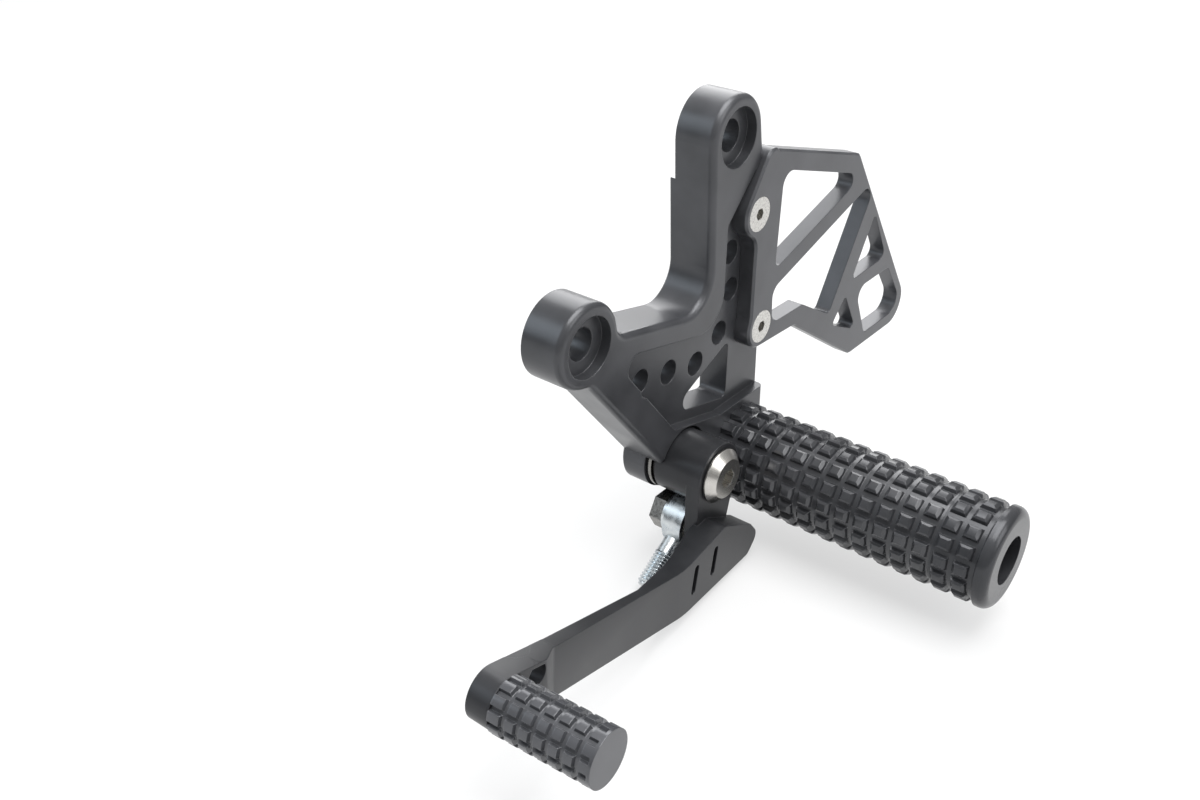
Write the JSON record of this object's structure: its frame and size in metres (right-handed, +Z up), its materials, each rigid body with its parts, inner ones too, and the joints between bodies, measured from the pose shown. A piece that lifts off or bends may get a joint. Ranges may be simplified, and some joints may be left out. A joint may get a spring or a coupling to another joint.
{
  "type": "motorcycle rear set footrest",
  "caption": "Left-hand rear set: a machined bracket with a heel guard, a knurled foot peg, and a pivoting gear lever with a knurled toe peg and a rod end.",
  "frame": {"origin": "axis of the upper frame bolt hole, on the boss face that meets the bike's frame", "axes": "+X forward, towards the toe peg; +Y outward from the bike, along the bolts and the foot peg; +Z up"},
  "size_m": [0.2328, 0.1004, 0.1311],
  "materials": {
    "black_anodised": "satin black anodised",
    "stainless": "turned stainless steel",
    "zinc_plated": "bright zinc plate",
    "dark_steel": "black oxide steel",
    "polished_steel": "polished hard steel",
    "bronze": "plain bearing bronze",
    "rubber": "matt",
    "liner": "low-friction"
  },
  "bodies": {
    "bracket": {"bracket_plate": "black_anodised", "heel_guard": "black_anodised", "heel_guard_screws": "stainless", "foot_peg": "black_anodised", "foot_peg_end_cap": "black_anodised", "foot_peg_washer": "dark_steel", "foot_peg_bolt": "dark_steel", "pivot_bolt": "stainless", "pivot_nut_washer": "stainless", "pivot_lock_nut": "stainless", "ear_seal_ring": "rubber", "thrust_washer": "stainless"},
    "lever": {"gear_lever": "black_anodised", "hub_bush_inner": "bronze", "hub_bush_outer": "bronze", "hub_seal_ring": "rubber", "toe_peg": "black_anodised", "toe_peg_screw": "stainless", "rod_end_bolt": "dark_steel", "rod_end_washer": "zinc_plated", "rod_end_ball": "polished_steel"},
    "rod": {"rod_end_housing": "zinc_plated", "rod_end_liner": "liner"}
  },
  "joints": [
    {"name": "lever_pivot", "type": "hinge", "parent": "bracket", "child": "lever", "pos_m": [0.0193, 0.016, -0.0878], "axis": [0, 1, 0], "range_deg": [-10, 10]},
    {"name": "rod_swing", "type": "hinge", "parent": "lever", "child": "rod", "pos_m": [0.0215, 0.0157, -0.105], "axis": [0, 1, 0], "range_deg": [-60, 90]}
  ]
}
